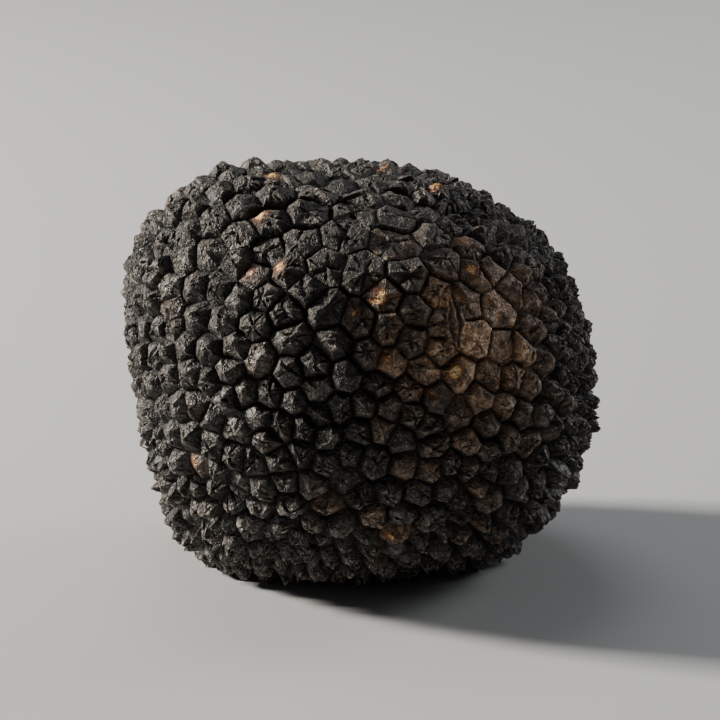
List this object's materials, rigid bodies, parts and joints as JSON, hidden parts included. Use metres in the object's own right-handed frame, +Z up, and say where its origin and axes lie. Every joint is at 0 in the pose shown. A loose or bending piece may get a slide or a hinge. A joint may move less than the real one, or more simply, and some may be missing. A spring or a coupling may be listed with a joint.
{
  "type": "black truffle",
  "caption": "Whole black truffle, a lumpy round fungus body with a skin of polygonal warts, resting on a small worn flat.",
  "frame": {"origin": "middle of the truffle's outline seen from above, in the plane it rests on", "axes": "+Z up; +X to the right along its greatest width; the side with the broad plates and the brown patch faces -Y"},
  "size_m": [0.048, 0.045, 0.0424],
  "materials": {
    "truffle_skin": "rough charcoal-black warty skin with a worn brown patch and a few amber wart tips, faintly waxy on the facets"
  },
  "bodies": {
    "root": {"truffle": "truffle_skin"}
  },
  "joints": []
}
